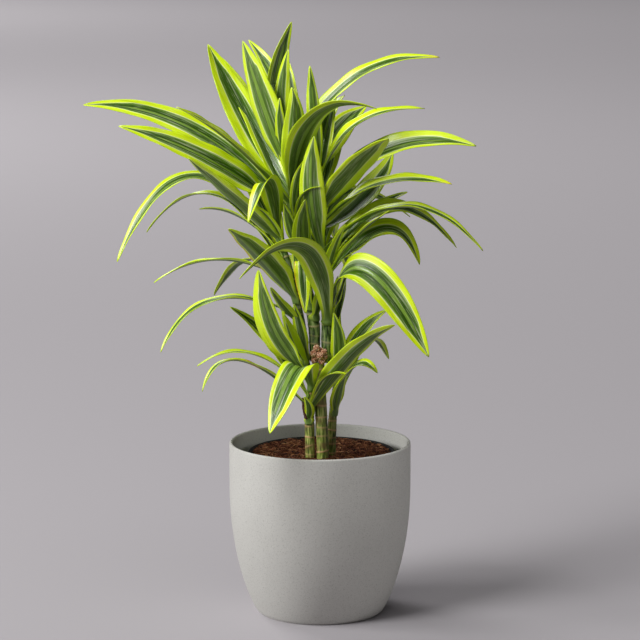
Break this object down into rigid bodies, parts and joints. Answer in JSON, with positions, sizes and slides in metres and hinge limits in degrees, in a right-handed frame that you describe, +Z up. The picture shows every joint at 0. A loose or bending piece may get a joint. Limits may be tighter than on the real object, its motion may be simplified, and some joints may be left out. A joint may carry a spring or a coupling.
{
  "type": "potted dracaena",
  "caption": "Variegated dracaena with strap leaves on ringed canes and shoots, planted in a nursery pot that stands in a round cover pot.",
  "frame": {"origin": "centre of the cover pot's flat foot, on the surface that it stands on", "axes": "+Z up along the pots' axis, -Y the front of the plant, +X to its right seen from the front"},
  "size_m": [0.4705, 0.3035, 0.7162],
  "materials": {
    "cover_pot": "light grey moulded plastic with a fine stone speckle, dead matt",
    "nursery_pot": "thin black moulded plastic, satin",
    "potting_mix": "moist red-brown coir fibre and chips, matt",
    "cane": "green bark with tan leaf scars, satin",
    "shoot": "smooth green young stem with pale rings, satin",
    "leaf": "dark green strap leaf with thin white lines and broad lime edges, waxy satin gloss"
  },
  "bodies": {
    "root": {"cover_pot": "cover_pot", "nursery_pot": "nursery_pot", "potting_mix": "potting_mix", "left_cane": "cane", "middle_cane": "cane", "right_cane": "cane", "left_shoot": "shoot", "middle_shoot": "shoot", "right_shoot": "shoot", "middle_shoot_leaf_1": "leaf", "middle_shoot_leaf_2": "leaf", "middle_shoot_leaf_3": "leaf", "middle_shoot_leaf_4": "leaf", "middle_shoot_leaf_5": "leaf", "middle_shoot_leaf_6": "leaf", "middle_shoot_leaf_7": "leaf", "middle_shoot_leaf_8": "leaf", "middle_shoot_leaf_9": "leaf", "middle_shoot_leaf_10": "leaf", "middle_shoot_leaf_11": "leaf", "middle_shoot_leaf_12": "leaf", "middle_shoot_leaf_13": "leaf", "middle_shoot_leaf_14": "leaf", "middle_shoot_leaf_15": "leaf", "middle_shoot_leaf_16": "leaf", "left_shoot_leaf_1": "leaf", "left_shoot_leaf_2": "leaf", "left_shoot_leaf_3": "leaf", "left_shoot_leaf_4": "leaf", "left_shoot_leaf_5": "leaf", "left_shoot_leaf_6": "leaf", "left_shoot_leaf_7": "leaf", "left_shoot_leaf_8": "leaf", "left_shoot_leaf_9": "leaf", "left_shoot_leaf_10": "leaf", "right_shoot_leaf_1": "leaf", "right_shoot_leaf_2": "leaf", "right_shoot_leaf_3": "leaf", "right_shoot_leaf_4": "leaf", "right_shoot_leaf_5": "leaf", "right_shoot_leaf_6": "leaf", "right_shoot_leaf_7": "leaf", "right_shoot_leaf_8": "leaf", "right_shoot_leaf_9": "leaf", "right_shoot_leaf_10": "leaf", "right_shoot_leaf_11": "leaf", "right_shoot_leaf_12": "leaf", "right_shoot_leaf_13": "leaf", "right_shoot_leaf_14": "leaf", "right_shoot_leaf_15": "leaf", "right_shoot_leaf_16": "leaf", "right_cane_leaf_1": "leaf", "right_cane_leaf_2": "leaf", "right_cane_leaf_3": "leaf", "right_cane_leaf_4": "leaf", "left_cane_leaf_1": "leaf", "left_cane_leaf_2": "leaf", "left_cane_leaf_3": "leaf", "left_cane_leaf_4": "leaf", "left_cane_leaf_5": "leaf"}
  },
  "joints": []
}
